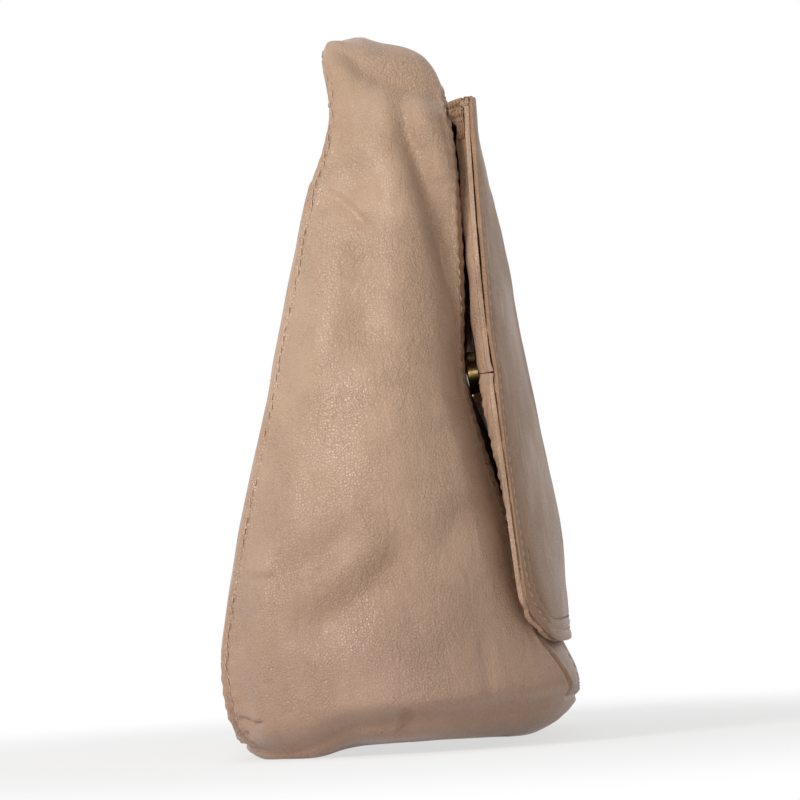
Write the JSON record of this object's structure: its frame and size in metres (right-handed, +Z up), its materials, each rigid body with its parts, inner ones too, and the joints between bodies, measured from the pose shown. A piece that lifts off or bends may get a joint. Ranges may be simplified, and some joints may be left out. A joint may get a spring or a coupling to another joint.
{
  "type": "belt bag",
  "caption": "Soft padded leather belt bag with a domed body, a hanging front flap closed by a magnetic snap, an open metal zip under it and belt loops on its back.",
  "frame": {"origin": "middle of the base, on the surface that the bag stands on", "axes": "+Z up, the flap faces -Y, the belt loops face +Y, the width lies along X"},
  "size_m": [0.2266, 0.1037, 0.2064],
  "materials": {
    "leather": "pebbled, semi-matt",
    "leather_inner": "smooth, wrinkled",
    "wadding": "soft felt",
    "lining": "woven",
    "board": "covered board",
    "tape": "woven tape",
    "gold": "polished"
  },
  "bodies": {
    "bag": {"body_wrap": "leather", "back_panel": "leather", "front_panel": "leather", "front_yoke": "leather", "body_wadding": "wadding", "body_lining": "lining", "base_board": "board", "zip_tape_lower": "tape", "zip_tape_upper": "tape", "zip_teeth_lower": "gold", "zip_teeth_upper": "gold", "zip_stop_open_end": "gold", "zip_stop_closed_end": "gold", "flap_hinge": "leather", "snap_socket": "gold", "snap_socket_washer": "gold", "belt_loop_left": "leather", "belt_loop_right": "leather"},
    "flap": {"flap_leather": "leather", "flap_wadding": "wadding", "flap_lining_upper": "leather_inner", "flap_lining_lower": "leather_inner", "snap_stud": "gold", "snap_stud_washer": "gold"},
    "slider": {"zip_slider": "gold"},
    "pull": {"zip_pull": "gold"}
  },
  "joints": [
    {"name": "flap_fold", "type": "hinge", "parent": "bag", "child": "flap", "pos_m": [0, -0.02817, 0.183], "axis": [-1, 0, 0], "range_deg": [0, 150], "deforming": ["flap_hinge"]},
    {"name": "zip_slide", "type": "slide", "parent": "bag", "child": "slider", "axis": [1, 0, 0], "range_m": [0, 0.1425]},
    {"name": "pull_swivel", "type": "hinge", "parent": "slider", "child": "pull", "pos_m": [-0.07128, -0.0281, 0.165], "axis": [0, 1, 0], "range_deg": [-45, 45]}
  ]
}
